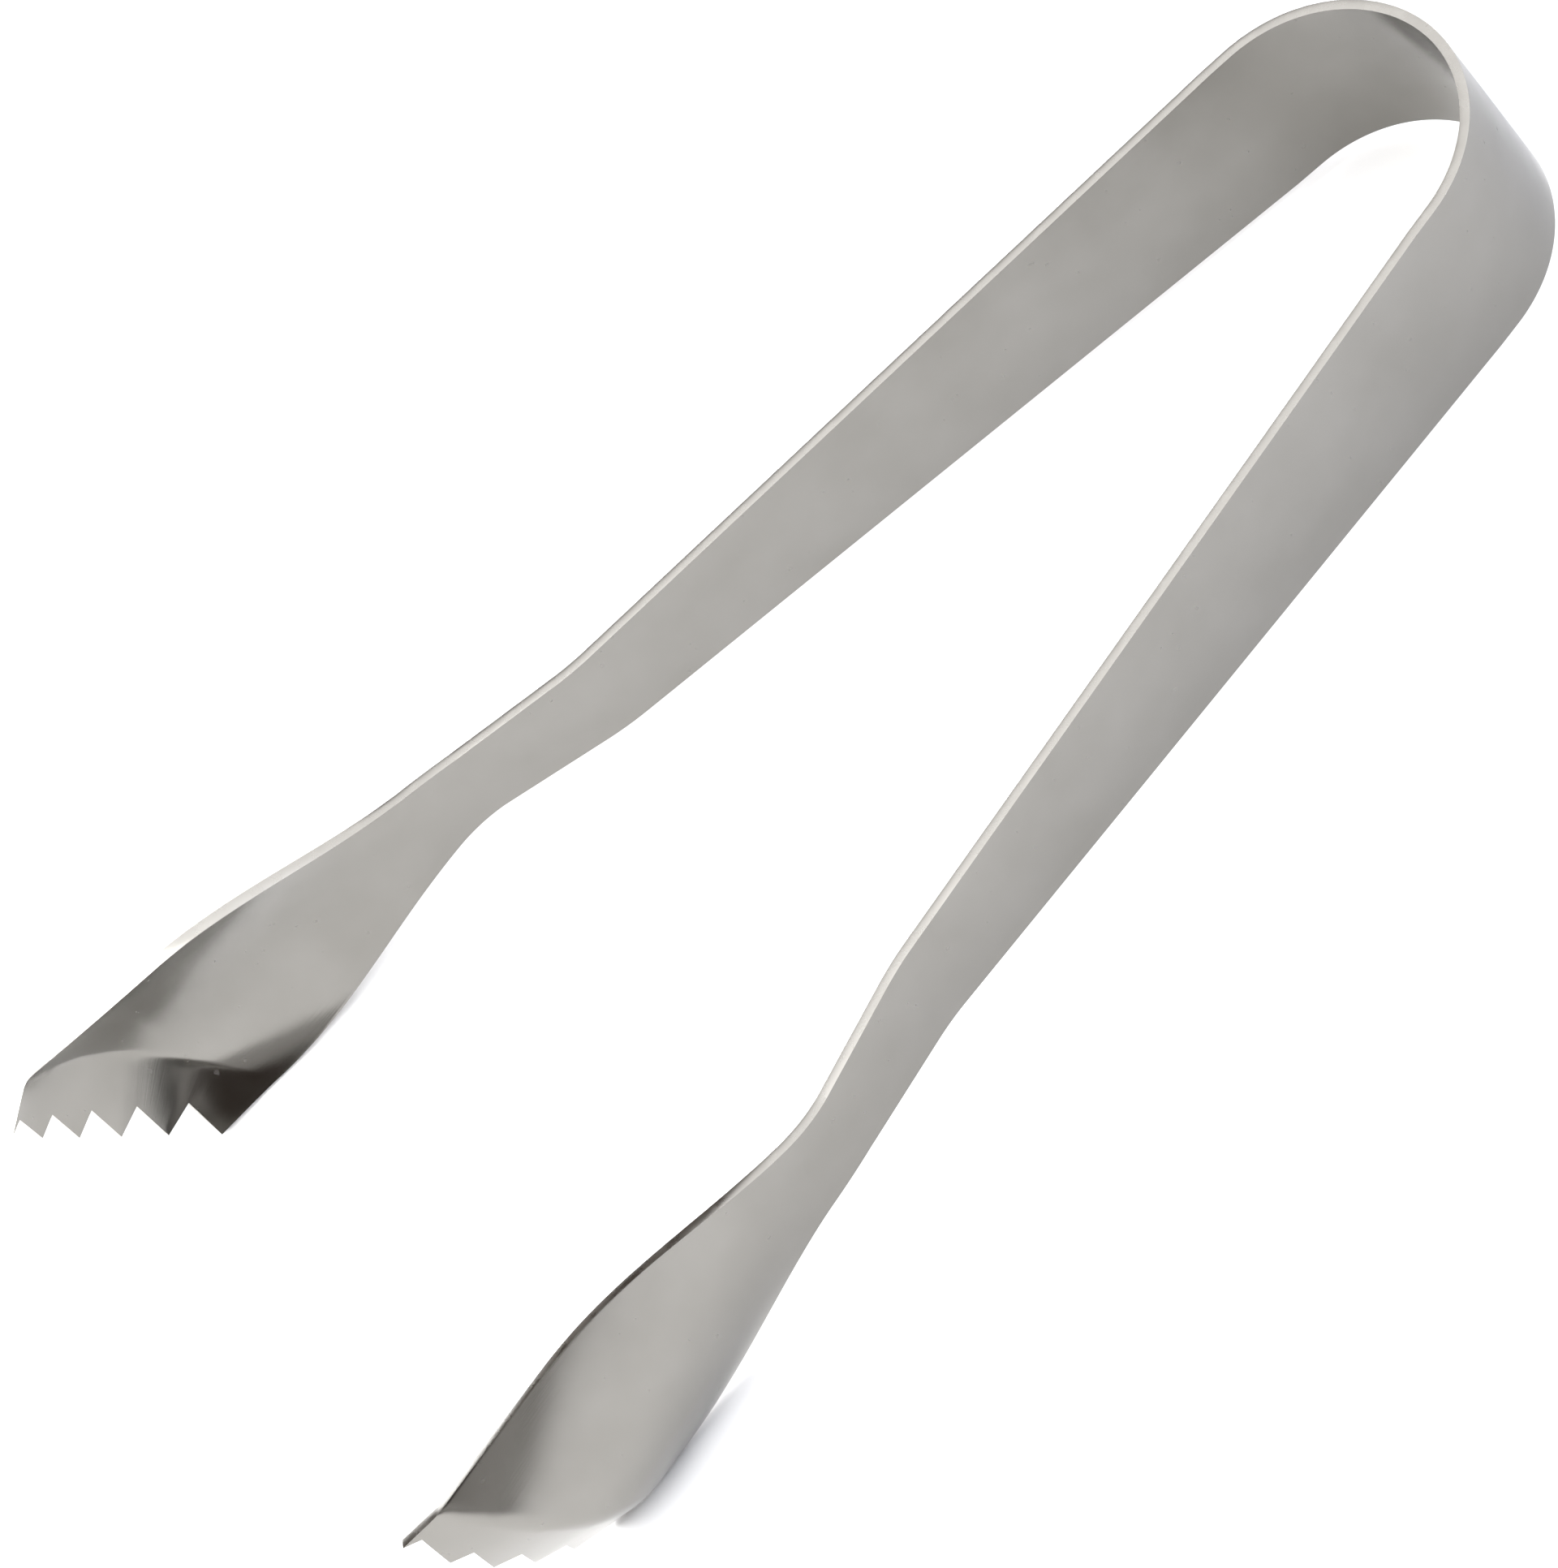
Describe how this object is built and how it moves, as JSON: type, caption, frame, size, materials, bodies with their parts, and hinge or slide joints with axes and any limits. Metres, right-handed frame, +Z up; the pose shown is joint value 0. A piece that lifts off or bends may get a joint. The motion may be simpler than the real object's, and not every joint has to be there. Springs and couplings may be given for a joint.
{
  "type": "ice tongs",
  "caption": "Bent-strip spring tongs with a rounded bow, tapering arms, stepped necks and flared scoops whose slanted ends carry inturned teeth.",
  "frame": {"origin": "middle of the footprint of the tongs lying on their long edge, on the surface they lie on", "axes": "+X from the teeth to the bow, +Y from the left arm to the right arm, +Z up across the width of the strip"},
  "size_m": [0.165, 0.0778, 0.0251],
  "materials": {
    "stainless_steel": "plain stainless steel, polished then softly satined, brightest on its cut edges"
  },
  "bodies": {
    "bow": {"bow": "stainless_steel"},
    "arm_right": {"arm_right": "stainless_steel", "neck_right": "stainless_steel", "scoop_right": "stainless_steel", "toothed_tip_right": "stainless_steel"},
    "arm_left": {"arm_left": "stainless_steel", "neck_left": "stainless_steel", "scoop_left": "stainless_steel", "toothed_tip_left": "stainless_steel"}
  },
  "joints": [
    {"name": "squeeze_right", "type": "hinge", "parent": "bow", "child": "arm_right", "pos_m": [0.05679, 0.01634, 0.0126], "axis": [0, 0, 1], "range_deg": [-3.7, 13.2], "stiffness_Nm_per_rad": 4.5},
    {"name": "squeeze_left", "type": "hinge", "parent": "bow", "child": "arm_left", "pos_m": [0.05679, -0.01634, 0.0126], "axis": [0, 0, -1], "range_deg": [-3.7, 13.2], "stiffness_Nm_per_rad": 4.5}
  ]
}
